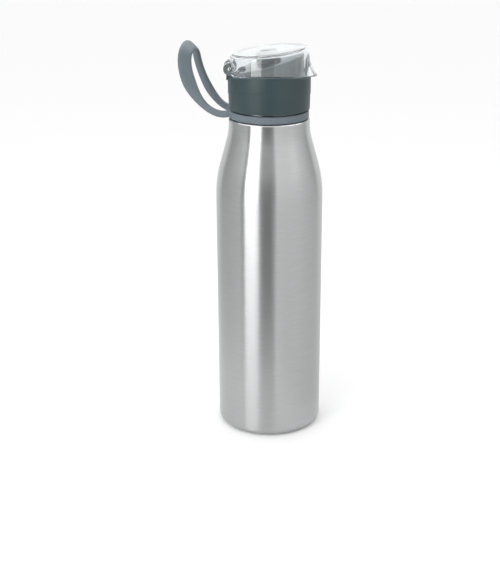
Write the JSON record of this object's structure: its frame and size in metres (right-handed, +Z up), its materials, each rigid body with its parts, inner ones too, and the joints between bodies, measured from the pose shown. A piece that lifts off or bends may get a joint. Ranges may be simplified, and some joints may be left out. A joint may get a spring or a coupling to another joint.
{
  "type": "drinking bottle",
  "caption": "Straight-walled steel drinking bottle with a soft shoulder, a screw cap, a slanted clear flip lid over a spout and a silicone carry loop.",
  "frame": {"origin": "on the bottle's axis, on the plane that it stands on, just below the flat base panel", "axes": "+Z up along the bottle's axis; +X towards the lid's thumb tab, with the lid's hinge on the -X side"},
  "size_m": [0.0956, 0.0714, 0.2617],
  "materials": {
    "brushed_steel": "fine brushing round the body",
    "pin_steel": "smooth drawn pin",
    "strap_silicone": "matt moulded silicone",
    "cap_plastic": "fine matt moulding",
    "seal_silicone": "soft matt silicone",
    "clear_plastic": "polished clear moulding"
  },
  "bodies": {
    "bottle": {"bottle_shell": "brushed_steel", "base_disc": "brushed_steel"},
    "strap": {"carry_strap": "strap_silicone"},
    "mouth_seal": {"mouth_gasket": "seal_silicone"},
    "cap": {"cap_shell": "cap_plastic", "spout_core": "cap_plastic", "vent_valve": "seal_silicone", "hinge_pin": "pin_steel"},
    "lid": {"lid_cover": "clear_plastic", "lid_plug": "seal_silicone"}
  },
  "joints": [
    {"name": "strap_swivel", "type": "hinge", "parent": "bottle", "child": "strap", "pos_m": [0, 0, 0.2183], "axis": [0, 0, 1], "continuous": true},
    {"name": "cap_rise", "type": "slide", "parent": "bottle", "child": "mouth_seal", "axis": [0, 0, 1], "range_m": [0, 0.01]},
    {"name": "cap_turn", "type": "hinge", "parent": "mouth_seal", "child": "cap", "pos_m": [0, 0, 0.234], "axis": [0, 0, 1], "range_deg": [0, 900]},
    {"name": "lid_hinge", "type": "hinge", "parent": "cap", "child": "lid", "pos_m": [-0.0254, 0, 0.248], "axis": [0, -1, 0], "range_deg": [0, 110]}
  ],
  "couplings": [
    {"joint": "cap_rise", "follows": "cap_turn", "m_per_rad": 0.0006366}
  ]
}
